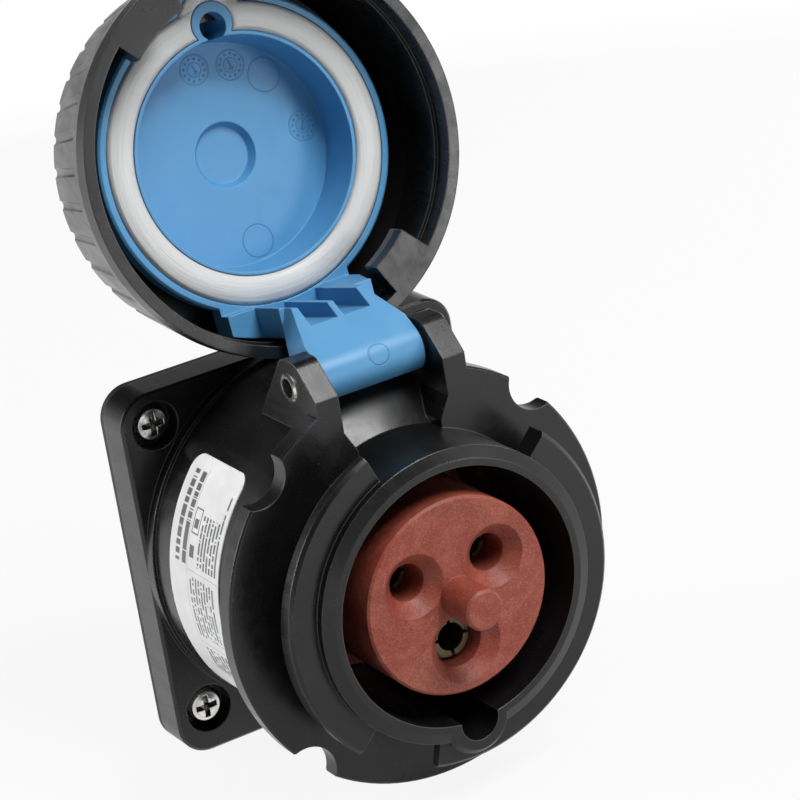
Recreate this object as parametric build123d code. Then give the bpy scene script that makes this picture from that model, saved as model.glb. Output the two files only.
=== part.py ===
from build123d import *
import os
from math import atan, cos, degrees, hypot, radians, sin

# Industrial power connector: a panel socket head with a hinged cap and a bayonet ring.
# Frame: the socket axis meets the mounting face at the origin, the socket looks along -Y,
# the hinge is at the top (+Z) and the keyway and the earth contact are at the bottom.
# A depth is the distance in front of the mounting face. Sizes are millimetres.

# General fits and walls
WALL = 3.0
EDGE = 0.4
RUNNING_GAP = 0.05
LOOSE_GAP = 0.2
SIDE_GAP = 1.0
CAP_SIDE_PLAY = 0.7
JOIN = 0.5

# Driving radii from the middle outwards: the others follow the collar
COLLAR_R = 31.4
COLLAR_BORE_R = COLLAR_R - 4.0
LIP_R = COLLAR_R + 6.0
BARREL_R = LIP_R + 2.4
STEP_R = BARREL_R + 0.8
DISC_R = BARREL_R + 4.8
RING_INNER_R = LIP_R + 1.6

# Driving depths from the mounting face forwards: the others follow the disc
FLANGE_FRONT = 10.2
DISC_FRONT = 54.8
COLLAR_FRONT = DISC_FRONT + 14.7
LIP_FRONT = COLLAR_FRONT - 2.9

# Hinge pin
HINGE_DEPTH = DISC_FRONT - 10.6
HINGE_Z = RING_INNER_R + 5.9
PIN_R = 3.0
PIN_BORE_R = 2.0
PIN_OVERHANG = 0.4
OPEN_TURN = 192.3

# Mounting flange and its screws
FLANGE_TOP_Z = HINGE_Z - 4.6
FLANGE_WIDTH = 2 * BARREL_R + 1.6
FLANGE_CORNER_R = 7.0
FLANGE_BEVEL = 0.6
FLANGE_GASKET_T = 1.5
SCREW_OFFSET = FLANGE_WIDTH / 2 - 7.7
FLANGE_BOTTOM_Z = -(SCREW_OFFSET + 9.8)
SHANK_R = 1.6
THREAD_R = 2.0
THREAD_REAR = 10.0
THREAD_FRONT = 0.6
SCREW_HOLE_R = 2.25
SCREW_HEAD_R = 4.0
SCREW_HEAD_H = 2.6
COUNTERBORE_R = 5.3
COUNTERBORE_DEPTH = 4.4
HEAD_SIDE = 0.5
HEAD_CROWN = ((0.82, 0.88), (0.45, 1.0))
CROSS_LENGTH = 1.25
CROSS_WIDTH = 0.3
CROSS_DEPTH = 0.6
WASHER_T = 0.8
WASHER_SLIT = 0.6

# Barrel, disc and collar of the head housing
STEP_H = 2.4
DISC_T = 4.5
NOTCH_R = COUNTERBORE_R + 1.0
COLLAR_CHAMFER_R = 2.5
COLLAR_CHAMFER_T = 1.1
COLLAR_REAR = 27.5
KEYWAY_Z = -(COLLAR_BORE_R + 0.2)
KEYWAY_R = 4.4
KEYWAY_SHELL_R = 7.6

# Bayonet lips on the collar
LIP_THICK = 5.3
LIP_THIN = 2.4
LIP_BEVEL = 0.8
LIP_SPANS = ((113.0, 225.0), (255.0, 405.0))

# Hinge lugs and the pocket between them
LUG_INNER_X = 12.3
LUG_OUTER_X = 17.5
LUG_FRONT_TOP_Z = HINGE_Z - 0.8
LUG_TOP_Z = HINGE_Z + 5.9
LUG_TOP_FRONT = HINGE_DEPTH + 3.9
LUG_TOP_REAR = HINGE_DEPTH - 1.9
LUG_FOOT_REAR = HINGE_DEPTH - 14.3
LUG_FOOT_Z = BARREL_R - 3.6
LUG_ROOT_Z = COLLAR_R - 7.4
LUG_ROUND = 3.0
POCKET_REAR = HINGE_DEPTH - 6.2
POCKET_KNEE_Z = BARREL_R - 3.7
POCKET_FOOT_X = 9.8
SADDLE_GAP = 0.7

# Contact insert
INSERT_R = COLLAR_BORE_R - 6.4
INSERT_FRONT = COLLAR_FRONT - 0.9
INSERT_CHAMFER = 0.5
SPIGOT_R = COLLAR_BORE_R - LOOSE_GAP
SPIGOT_FRONT = COLLAR_REAR + 1.0
INSERT_FLANGE_R = COLLAR_R - LOOSE_GAP
INSERT_FLANGE_FRONT = COLLAR_REAR - 1.5
INSERT_FLANGE_REAR = INSERT_FLANGE_FRONT - 5.0
INSERT_BODY_R = INSERT_R + 2.5
INSERT_REAR = 7.0
POST_R = 4.3
POST_FRONT = INSERT_FRONT + 10.3
POST_CHAMFER = 0.55

# Contact holes and contacts: the earth is larger than line and neutral
CONTACT_CIRCLE_R = INSERT_R - 10.0
MOUTH_DEPTH = 3.1
LINE_MOUTH_R = 6.8
LINE_HOLE_R = 4.0
LINE_TUBE_R = 3.3
LINE_BORE_R = 2.55
LINE_FRONT = INSERT_FRONT - 9.6
EARTH_MOUTH_R = 8.2
EARTH_HOLE_R = 5.4
EARTH_TUBE_R = 4.3
EARTH_BORE_R = 3.05
EARTH_FRONT = INSERT_FRONT - 6.1
LINE = (150.0, LINE_MOUTH_R, LINE_HOLE_R, LINE_TUBE_R, LINE_BORE_R, LINE_FRONT)
NEUTRAL = (30.0, LINE_MOUTH_R, LINE_HOLE_R, LINE_TUBE_R, LINE_BORE_R, LINE_FRONT)
EARTH = (270.0, EARTH_MOUTH_R, EARTH_HOLE_R, EARTH_TUBE_R, EARTH_BORE_R, EARTH_FRONT)
TUBE_SHOULDER = 40.0
CONTACT_BORE_REAR = TUBE_SHOULDER - 12.0
SLOT_W = 0.8
SLOT_L = 18.0
SPRING_REAR = 6.5
SPRING_FIT = 0.02
SPRING_FRONT = 1.5
SPRING_SLIT = 0.7
TERMINAL_R = 4.7
TERMINAL_REAR = 9.0
TERMINAL_FRONT = 20.0
WIRE_BORE_R = 2.2
WIRE_BORE_DEPTH = 8.0
TERMINAL_SCREW_R = 1.5
TERMINAL_SCREW_HEAD_R = 2.3
TERMINAL_SCREW_HEAD_H = 2.4
TERMINAL_SCREW_DEPTH = 13.0
TERMINAL_SCREW_START = CONTACT_CIRCLE_R + 1.3
TERMINAL_SCREW_SEAT = CONTACT_CIRCLE_R + TERMINAL_R + 0.6

# Insert retaining ring
RETAINER_R = BARREL_R - WALL - 0.5
RETAINER_BORE_R = INSERT_BODY_R + 0.7
RETAINER_REAR = INSERT_FLANGE_REAR - 4.0
BOSS_CIRCLE_R = (COLLAR_R + BARREL_R - WALL) / 2
BOSS_R = (BARREL_R - WALL - COLLAR_R) / 2 + 0.5
BOSS_PILOT_R = 1.4
BOSS_ANGLES = (0.0, 120.0, 240.0)
RING_SCREW_R = 1.3
RING_SCREW_HEAD_R = 2.7
RING_SCREW_HEAD_H = 2.2
RING_SCREW_L = 12.0

# Label
LABEL_T = 0.25
LABEL_REAR = FLANGE_FRONT + 9.3
LABEL_FRONT = LABEL_REAR + 21.5
LABEL_MIDDLE_ANGLE = 173.5
LABEL_CHORD = 49.8
LABEL_CORNER_R = 3.0

# Cap, in its closed place
CAP_RIM = COLLAR_FRONT + 0.9
CAP_RIM_R = COLLAR_R + 1.9
CAP_RIM_FRONT = CAP_RIM + 4.0
CAP_RIM_EDGE = 0.5
CAP_BODY_R = COLLAR_R - 3.4
CAP_MOUTH_R = INSERT_R + 3.55
CAP_WALL_R = CAP_MOUTH_R + 0.75
CAP_FLOOR_R = CAP_MOUTH_R - 0.95
CAP_FLOOR = POST_FRONT + 2.1
CAP_FRONT = CAP_FLOOR + 4.6
CAP_EDGE = 1.2
RECESS_R = 7.0
RECESS_FLOOR_R = 6.0
RECESS_DEPTH = 1.8
CAP_BULGE_R = 9.3
CAP_BULGE_INNER_R = 4.6
CAP_BULGE_HOLE_R = 3.0
CAP_BULGE_HOLE_Z = KEYWAY_Z + 0.6
GASKET_R = CAP_RIM_R - 1.8
GASKET_FACE = COLLAR_FRONT + 0.5
GASKET_SEAT = GASKET_FACE + 3.2
GASKET_ROUND = 0.9
GASKET_BULGE_R = 7.7

# Hinge arm of the cap, in its closed place
KNUCKLE_R = 5.1
ARM_ELBOW_DEPTH = HINGE_DEPTH + 7.8
ARM_UNDER_R = COLLAR_R + 0.6
ARM_UNDER_Z = COLLAR_R - 0.6
ARM_TOP_R = RING_INNER_R - 0.7
ARM_BACK_ANGLE = 28.0
ARM_SHOULDER_DEPTH = DISC_FRONT + 0.2
ARM_FACE_X = 8.2
ARM_WIDE_X = 9.0
ARM_NARROWING = 4.0
GUSSET_X = 15.4
LEFT_GUSSET_REAR = LIP_FRONT + 0.7
RIGHT_GUSSET_REAR = LIP_FRONT - 1.2
ARM_POCKET_DEPTH = 3.0
ARM_POCKET_X = (0.7, 7.0)

# Bayonet ring, in its closed place
RING_RIM = DISC_FRONT + 1.4
RING_MOUTH_R = RING_INNER_R + 0.8
RING_R = RING_INNER_R + 3.3
RING_FRONT_R = RING_INNER_R - 0.6
RING_STRAIGHT = RING_RIM + 3.8
RING_FRONT = CAP_FRONT - 3.0
RING_EDGE = 1.0
RING_TAPER_END = RING_FRONT - RING_EDGE
RING_INNER_FRONT = CAP_RIM_FRONT - 0.4
RING_INNER_END_R = RING_INNER_R - 2.6
RING_WEB_REAR = RING_FRONT - 3.6
HUB_R = CAP_BODY_R + 2.8
HUB_REAR = CAP_RIM_FRONT + 0.1
CLAW_FRONT = LIP_FRONT - LIP_THICK - 0.4
CLAW_ROUND = 2.4
NEAR_CLAW = (45.5, 63.0, COLLAR_R + 1.0)
FAR_CLAW = (226.5, 250.5, COLLAR_R + 2.9)
FLUTE_COUNT = 36
FLUTE_R = 1.1
FLUTE_SINK = 0.45
FLUTE_REAR = RING_STRAIGHT + 3.0
CLIP_REAR = RING_FRONT + 0.3
CLIP_T = 1.0
CLIP_R = CAP_BODY_R + 1.9
CLIP_GROOVE_R = CAP_BODY_R - 1.0
CLIP_OPENING = 5.0

FAR = 120.0


def turned(points):
    """A body turned about the socket axis from (radius, depth) points."""
    outline = Polyline(*[(radius, -depth) for radius, depth in points], close=True)
    return revolve(make_face(outline), Axis.Y, 360)


def along(outline, rear, front):
    """An outline in the front view pushed forward from one depth to another."""
    return extrude(Plane.XZ.offset(rear) * outline, front - rear)


def disc(radius, rear, front, x=0.0, z=0.0):
    """A round bar along the socket axis."""
    return along(Pos(x, z) * Circle(radius), rear, front)


def tube(radius, bore, rear, front, x=0.0, z=0.0):
    """A round tube along the socket axis."""
    return disc(radius, rear, front, x, z) - disc(bore, rear - 1, front + 1, x, z)


def wedge(start, end, rear, front):
    """A slice of space between two angles as seen from the front."""
    steps = int((end - start) // 30) + 1
    turns = [start + (end - start) * i / steps for i in range(steps + 1)]
    rim = [(FAR * cos(radians(a)), FAR * sin(radians(a))) for a in turns]
    return along(make_face(Polyline((0, 0), *rim, close=True)), rear, front)


def side_plate(points, x_from, x_to):
    """A plate across the hinge from (depth, height) points."""
    outline = make_face(Polyline(*[(-depth, z) for depth, z in points], close=True))
    return extrude(Plane.YZ.offset(x_from) * outline, x_to - x_from)


def cross_bar(radius, x_from, x_to, depth, z):
    """A round bar parallel to the hinge."""
    return extrude(Plane.YZ.offset(x_from) * (Pos(-depth, z) * Circle(radius)), x_to - x_from)


def on_circle(radius, angle):
    """The place on a circle about the socket axis."""
    return radius * cos(radians(angle)), radius * sin(radians(angle))


def screw_places():
    """The four places of the flange screws."""
    return [(x * SCREW_OFFSET, z * SCREW_OFFSET) for x in (-1, 1) for z in (-1, 1)]


def bayonet_lip(start, end):
    """One raised lip of the collar, thick at its start and thin at its end."""
    half = radians((end - start) / 2)
    middle = radians((start + end) / 2)
    mean_r = (COLLAR_R + LIP_R) / 2
    lean = atan((LIP_THICK - LIP_THIN) / 2 / (mean_r * sin(half)))
    rear = LIP_FRONT - (LIP_THICK + LIP_THIN) / 2
    across = (-sin(middle) * sin(lean), -cos(lean), cos(middle) * sin(lean))
    ring = turned([
        (COLLAR_BORE_R + 1, DISC_FRONT),
        (LIP_R, DISC_FRONT),
        (LIP_R, LIP_FRONT - LIP_BEVEL),
        (LIP_R - LIP_BEVEL, LIP_FRONT),
        (COLLAR_BORE_R + 1, LIP_FRONT),
    ])
    ahead = Plane(origin=(0, -rear, 0), x_dir=(cos(middle), 0, sin(middle)), z_dir=across)
    keep = extrude(ahead * Rectangle(FAR, FAR), LIP_THICK * 3)
    return ring & wedge(start, end, DISC_FRONT, LIP_FRONT + 1) & keep


def hinge_lug(side):
    """One hinge lug, from the collar up to the pin."""
    lug = side_plate([
        (DISC_FRONT, LUG_ROOT_Z),
        (DISC_FRONT, LUG_FRONT_TOP_Z),
        (LUG_TOP_FRONT, LUG_TOP_Z),
        (LUG_TOP_REAR, LUG_TOP_Z),
        (LUG_FOOT_REAR, LUG_FOOT_Z),
        (LUG_FOOT_REAR, LUG_ROOT_Z),
    ], LUG_INNER_X, LUG_OUTER_X)
    top = lug.edges().filter_by(Axis.X).group_by(Axis.Z)[-1]
    lug = fillet(top, LUG_ROUND)
    return lug if side > 0 else mirror(lug, Plane.YZ)


def head_housing():
    """The one-piece moulded head: flange, barrel, disc, collar, lips and hinge lugs."""
    flange = along(flange_outline(), FLANGE_GASKET_T, FLANGE_FRONT)
    front_edges = flange.faces().sort_by(Axis.Y)[0].edges()
    body = chamfer(front_edges, FLANGE_BEVEL)
    body += disc(STEP_R, FLANGE_FRONT - 1, FLANGE_FRONT + STEP_H)
    body += disc(BARREL_R, FLANGE_FRONT - 1, DISC_FRONT - 1)
    disc_rear = DISC_FRONT - DISC_T
    plate = turned([
        (0, disc_rear), (DISC_R - EDGE, disc_rear), (DISC_R, disc_rear + EDGE),
        (DISC_R, DISC_FRONT - EDGE), (DISC_R - EDGE, DISC_FRONT), (0, DISC_FRONT),
    ])
    for x, z in screw_places():
        plate -= disc(NOTCH_R, disc_rear - 1, DISC_FRONT + 1, x, z)
    body += plate
    for side in (-1, 1):
        lug = hinge_lug(side)
        lug -= disc(COLLAR_BORE_R + 1, 0, FAR)
        body += lug
    body -= hinge_pocket()
    body -= rear_hollow()
    body += turned([
        (COLLAR_BORE_R - 1, COLLAR_REAR),
        (COLLAR_R, COLLAR_REAR),
        (COLLAR_R, COLLAR_FRONT - COLLAR_CHAMFER_T),
        (COLLAR_R - COLLAR_CHAMFER_R, COLLAR_FRONT),
        (COLLAR_BORE_R - 1, COLLAR_FRONT),
    ])
    body += keyway_shell()
    for start, end in LIP_SPANS:
        body += bayonet_lip(start, end)
    for angle in BOSS_ANGLES:
        x, z = on_circle(BOSS_CIRCLE_R, angle)
        body += disc(BOSS_R, INSERT_FLANGE_REAR, POCKET_REAR - WALL, x, z)
    body -= disc(COLLAR_BORE_R, 0, COLLAR_FRONT + 1)
    body -= disc(INSERT_FLANGE_R + LOOSE_GAP, 0, COLLAR_REAR)
    body -= disc(KEYWAY_R, SPIGOT_FRONT, COLLAR_FRONT + 1, 0, KEYWAY_Z)
    for angle in BOSS_ANGLES:
        x, z = on_circle(BOSS_CIRCLE_R, angle)
        body -= disc(BOSS_PILOT_R, 0, RETAINER_REAR + RING_SCREW_L + 1, x, z)
    for x, z in screw_places():
        body -= disc(SCREW_HOLE_R, 0, FLANGE_FRONT + 1, x, z)
        body -= disc(COUNTERBORE_R, FLANGE_FRONT - COUNTERBORE_DEPTH, DISC_FRONT - DISC_T - 1, x, z)
    body -= cross_bar(PIN_R + RUNNING_GAP, -FAR, FAR, HINGE_DEPTH, HINGE_Z)
    return body


def flange_outline():
    """The outline of the flange: it reaches further down than up."""
    middle = (FLANGE_TOP_Z + FLANGE_BOTTOM_Z) / 2
    height = FLANGE_TOP_Z - FLANGE_BOTTOM_Z
    return Pos(0, middle) * RectangleRounded(FLANGE_WIDTH, height, FLANGE_CORNER_R)


def hinge_pocket():
    """The space between the lugs, with a ramp down to the collar as its floor."""
    outline = mirrored([
        (-POCKET_FOOT_X, 0), (-POCKET_FOOT_X, COLLAR_R), (-LUG_INNER_X, POCKET_KNEE_Z), (-LUG_INNER_X, FAR),
    ])
    space = along(make_face(Polyline(*outline, close=True)), POCKET_REAR, LIP_FRONT)
    foot_depth, foot_z, fall = arm_slope()
    drop = SADDLE_GAP * hypot(1, fall)
    end = foot_depth + (foot_z - drop - COLLAR_R) / fall
    start = foot_depth + (foot_z - drop - DISC_R) / fall
    floor = turned([
        (0, POCKET_REAR - DISC_T), (DISC_R, POCKET_REAR - DISC_T), (DISC_R, start), (COLLAR_R, end),
        (COLLAR_R, LIP_FRONT + 1), (0, LIP_FRONT + 1),
    ])
    return space - floor


def rear_hollow():
    """The moulded hollow between barrel and collar, closed round the hinge pocket."""
    hollow = tube(BARREL_R - WALL, COLLAR_R, 0, DISC_FRONT - 4)
    hollow += disc(COLLAR_R + 1, 0, COLLAR_REAR)
    block = Pos(0, FAR / 2) * Rectangle(2 * LUG_OUTER_X, FAR)
    return hollow - along(block, POCKET_REAR - WALL, FAR)


def keyway_shell():
    """The bulge of the collar outside the keyway."""
    shell = disc(KEYWAY_SHELL_R, COLLAR_REAR, COLLAR_FRONT, 0, KEYWAY_Z)
    front = shell.faces().sort_by(Axis.Y)[0].edges()
    return chamfer(front, COLLAR_CHAMFER_T)


def flange_gasket():
    """The flat sheet between flange and panel."""
    sheet = along(flange_outline(), 0, FLANGE_GASKET_T)
    sheet -= disc(BARREL_R - WALL, -1, FLANGE_FRONT)
    for x, z in screw_places():
        sheet -= disc(SCREW_HOLE_R, -1, FLANGE_FRONT, x, z)
    return sheet


def cross_recess(radius, depth, top):
    """A cross-shaped driver recess below a screw head's top."""
    length, width = radius * CROSS_LENGTH, radius * CROSS_WIDTH
    cut = Rectangle(length, width) + Rectangle(width, length)
    return along(cut, top - depth, top + 1)


def pan_screw(radius, head_r, head_h, seat, length):
    """A cross-recess pan-head screw pointing to the rear."""
    crown = [(head_r * across, seat + head_h * up) for across, up in HEAD_CROWN]
    head = turned([
        (0, seat), (head_r, seat), (head_r, seat + head_h * HEAD_SIDE), *crown, (0, seat + head_h),
    ])
    screw = head + disc(radius, seat - length, seat + JOIN)
    return screw - cross_recess(head_r, head_h * CROSS_DEPTH, seat + head_h)


def flange_screws():
    """The four screws in the flange, with a waisted shank that keeps them in it."""
    seat = FLANGE_FRONT - COUNTERBORE_DEPTH + WASHER_T
    screw = pan_screw(SHANK_R, SCREW_HEAD_R, SCREW_HEAD_H, seat, seat + THREAD_FRONT + JOIN)
    thread = disc(THREAD_R, -THREAD_REAR, -THREAD_FRONT)
    screw += chamfer(thread.edges().sort_by(Axis.Y)[-1], EDGE)
    return Compound(children=[Pos(x, 0, z) * screw for x, z in screw_places()])


def flange_washers():
    """The split washers under the flange screws."""
    seat = FLANGE_FRONT - COUNTERBORE_DEPTH
    washer = tube(SCREW_HEAD_R, SCREW_HOLE_R, seat, seat + WASHER_T)
    washer -= along(Pos(SCREW_HEAD_R, 0) * Rectangle(SCREW_HEAD_R, WASHER_SLIT), seat - 1, seat + 2)
    return Compound(children=[Pos(x, 0, z) * washer for x, z in screw_places()])


def label():
    """The wrapped label on the viewer's left of the barrel."""
    wrap = tube(BARREL_R + LABEL_T, BARREL_R, LABEL_REAR, LABEL_FRONT)
    x, z = on_circle(1.0, LABEL_MIDDLE_ANGLE)
    middle = -(LABEL_REAR + LABEL_FRONT) / 2
    face = Plane(origin=(0, middle, 0), x_dir=(0, 1, 0), z_dir=(x, 0, z))
    outline = RectangleRounded(LABEL_FRONT - LABEL_REAR, LABEL_CHORD, LABEL_CORNER_R)
    return wrap & extrude(face * outline, FAR)


def contact_insert():
    """The moulded insert with its three contact holes and the centre post."""
    body = turned([
        (0, INSERT_REAR),
        (INSERT_BODY_R, INSERT_REAR),
        (INSERT_BODY_R, INSERT_FLANGE_REAR),
        (INSERT_FLANGE_R, INSERT_FLANGE_REAR),
        (INSERT_FLANGE_R, INSERT_FLANGE_FRONT),
        (SPIGOT_R, INSERT_FLANGE_FRONT),
        (SPIGOT_R, SPIGOT_FRONT),
        (INSERT_R, SPIGOT_FRONT),
        (INSERT_R, INSERT_FRONT - INSERT_CHAMFER),
        (INSERT_R - INSERT_CHAMFER, INSERT_FRONT),
        (POST_R, INSERT_FRONT),
        (POST_R, POST_FRONT - POST_CHAMFER),
        (POST_R - POST_CHAMFER, POST_FRONT),
        (0, POST_FRONT),
    ])
    for contact in (LINE, NEUTRAL, EARTH):
        angle, mouth_r, hole_r, tube_r = contact[:4]
        x, z = on_circle(CONTACT_CIRCLE_R, angle)
        lead = turned([
            (0, INSERT_FRONT - MOUTH_DEPTH), (hole_r, INSERT_FRONT - MOUTH_DEPTH),
            (mouth_r, INSERT_FRONT), (mouth_r, INSERT_FRONT + 1), (0, INSERT_FRONT + 1),
        ])
        lead_in = Pos(x, 0, z) * lead - disc(POST_R, 0, FAR)
        body -= lead_in
        body -= disc(hole_r, TUBE_SHOULDER, INSERT_FRONT - MOUTH_DEPTH + EDGE, x, z)
        body -= disc(tube_r + RUNNING_GAP, TERMINAL_FRONT - 1, TUBE_SHOULDER + 1, x, z)
        body -= disc(TERMINAL_R + LOOSE_GAP, 0, TERMINAL_FRONT, x, z)
        body -= radial_bar(TERMINAL_SCREW_HEAD_R + LOOSE_GAP, angle, CONTACT_CIRCLE_R, INSERT_BODY_R + 1)
    return body


def radial_bar(radius, angle, start, end):
    """A round bar pointing away from the socket axis at the terminal screws' depth."""
    x, z = on_circle(1.0, angle)
    spot = Plane(origin=(x * start, -TERMINAL_SCREW_DEPTH, z * start), z_dir=(x, 0, z))
    return extrude(spot * Circle(radius), end - start)


def contact(place):
    """A slotted contact tube with its terminal at the rear."""
    angle, _, _, tube_r, bore_r, front = place
    x, z = on_circle(CONTACT_CIRCLE_R, angle)
    body = disc(tube_r, TERMINAL_FRONT - JOIN, front)
    body += disc(TERMINAL_R, TERMINAL_REAR, TERMINAL_FRONT)
    body -= disc(bore_r, CONTACT_BORE_REAR, front + 1)
    body -= disc(WIRE_BORE_R, TERMINAL_REAR - 1, TERMINAL_REAR + WIRE_BORE_DEPTH)
    for slot in (Rectangle(3 * tube_r, SLOT_W), Rectangle(SLOT_W, 3 * tube_r)):
        body -= along(slot, front - SLOT_L, front + 1)
    body = Pos(x, 0, z) * body
    return body - radial_bar(TERMINAL_SCREW_R + RUNNING_GAP, angle, CONTACT_CIRCLE_R, FAR)


def contact_spring(place):
    """The spring ring round the slotted end of a contact tube."""
    angle, _, hole_r, tube_r, _, front = place
    x, z = on_circle(CONTACT_CIRCLE_R, angle)
    outer = (hole_r + tube_r + LOOSE_GAP) / 2
    ring = tube(outer, tube_r + SPRING_FIT, front - SPRING_REAR, front - SPRING_FRONT)
    ring -= along(Pos(0, hole_r) * Rectangle(SPRING_SLIT, 2 * hole_r), 0, FAR)
    return Pos(x, 0, z) * ring


def terminal_screws():
    """The clamp screws of the three terminals."""
    screws = []
    seat = TERMINAL_SCREW_SEAT
    for place in (LINE, NEUTRAL, EARTH):
        screw = radial_bar(TERMINAL_SCREW_R, place[0], TERMINAL_SCREW_START, seat + LOOSE_GAP)
        screw += radial_bar(TERMINAL_SCREW_HEAD_R, place[0], seat, seat + TERMINAL_SCREW_HEAD_H)
        screws.append(screw)
    return Compound(children=screws)


def insert_seal():
    """The flat seal between insert and collar."""
    return tube(INSERT_FLANGE_R, SPIGOT_R + LOOSE_GAP, INSERT_FLANGE_FRONT, COLLAR_REAR)


def insert_retainer():
    """The ring that holds the insert from the rear."""
    ring = tube(RETAINER_R, RETAINER_BORE_R, RETAINER_REAR, INSERT_FLANGE_REAR)
    for angle in BOSS_ANGLES:
        x, z = on_circle(BOSS_CIRCLE_R, angle)
        ring -= disc(BOSS_PILOT_R, 0, FAR, x, z)
    return ring


def retainer_screws():
    """The three screws of the retaining ring, heads to the rear."""
    screw = pan_screw(RING_SCREW_R, RING_SCREW_HEAD_R, RING_SCREW_HEAD_H, 0, RING_SCREW_L)
    screw = Pos(0, -RETAINER_REAR, 0) * (Rot(0, 0, 180) * screw)
    places = [on_circle(BOSS_CIRCLE_R, angle) for angle in BOSS_ANGLES]
    return Compound(children=[Pos(x, 0, z) * screw for x, z in places])


def hinge_pin():
    """The steel tube that carries the cap."""
    reach = LUG_OUTER_X + PIN_OVERHANG
    pin = cross_bar(PIN_R, -reach, reach, HINGE_DEPTH, HINGE_Z)
    pin = chamfer(pin.edges().filter_by(GeomType.CIRCLE), EDGE)
    return pin - cross_bar(PIN_BORE_R, -FAR, FAR, HINGE_DEPTH, HINGE_Z)


def arm_slope():
    """The sloped underside of the arm: its depth and height at the knuckle, and its fall."""
    back = ARM_ELBOW_DEPTH - HINGE_DEPTH
    down = HINGE_Z - ARM_UNDER_Z
    tangent = (hypot(back, down) ** 2 - KNUCKLE_R ** 2) ** 0.5
    swing = atan(down / back) - atan(KNUCKLE_R / tangent)
    foot_depth = HINGE_DEPTH - KNUCKLE_R * sin(swing)
    foot_z = HINGE_Z - KNUCKLE_R * cos(swing)
    return foot_depth, foot_z, sin(swing) / cos(swing)


def arm_outline():
    """The side outline of the hinge arm from knuckle to cap rim, closed place."""
    foot_depth, foot_z, _ = arm_slope()
    top_depth = HINGE_DEPTH + KNUCKLE_R * cos(radians(ARM_BACK_ANGLE))
    top_z = HINGE_Z + KNUCKLE_R * sin(radians(ARM_BACK_ANGLE))
    return [
        (foot_depth, foot_z),
        (ARM_ELBOW_DEPTH, ARM_UNDER_Z),
        (CAP_RIM, ARM_UNDER_Z),
        (CAP_RIM, CAP_BODY_R),
        (CAP_RIM_FRONT, CAP_BODY_R),
        (CAP_RIM_FRONT, ARM_TOP_R),
        (ARM_SHOULDER_DEPTH, ARM_TOP_R),
        (top_depth, top_z),
        (HINGE_DEPTH, HINGE_Z),
    ]


def mirrored(points):
    """Points of a left half, closed by their mirror image on the right."""
    return points + [(-x, y) for x, y in reversed(points)]


def hinge_arm():
    """The arm of the cap with its knuckle, ribs and gussets."""
    left_x = SIDE_GAP - LUG_INNER_X
    right_x = LUG_INNER_X
    slim_depth = ARM_ELBOW_DEPTH + ARM_NARROWING
    arm = side_plate(arm_outline(), -GUSSET_X, GUSSET_X)
    arm += cross_bar(KNUCKLE_R, left_x, right_x, HINGE_DEPTH, HINGE_Z)
    plan = [
        (left_x, HINGE_DEPTH - KNUCKLE_R), (left_x, ARM_ELBOW_DEPTH), (-ARM_WIDE_X, slim_depth),
        (-ARM_WIDE_X, LEFT_GUSSET_REAR), (-GUSSET_X, LEFT_GUSSET_REAR), (-GUSSET_X, CAP_RIM_FRONT),
        (GUSSET_X, CAP_RIM_FRONT), (GUSSET_X, RIGHT_GUSSET_REAR),
        (right_x, slim_depth), (right_x, HINGE_DEPTH - KNUCKLE_R),
    ]
    arm &= extrude(make_face(Polyline(*[(x, -depth) for x, depth in plan], close=True)), FAR)
    front = [
        (-ARM_FACE_X, 0), (-ARM_FACE_X, ARM_UNDER_Z), (left_x, ARM_TOP_R), (left_x, FAR),
        (right_x, FAR), (right_x, ARM_TOP_R), (ARM_FACE_X, ARM_UNDER_Z), (ARM_FACE_X, 0),
    ]
    narrow = along(make_face(Polyline(*front, close=True)), 0, DISC_FRONT)
    arm &= narrow + along(Rectangle(FAR, FAR), DISC_FRONT, FAR)
    sweep = turned([(0, DISC_FRONT), (ARM_TOP_R, DISC_FRONT), (ARM_TOP_R, FAR), (0, FAR)])
    behind = along(Rectangle(FAR, FAR), 0, DISC_FRONT)
    arm = arm & (sweep + behind)
    arm -= disc(ARM_UNDER_R, 0, CAP_RIM)
    inner, outer = ARM_POCKET_X
    for side in (-1, 1):
        middle = Pos(side * (inner + outer) / 2, ARM_UNDER_R)
        arm -= along(middle * Rectangle(outer - inner, 2 * ARM_POCKET_DEPTH), 0, CAP_RIM)
    return arm


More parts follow.
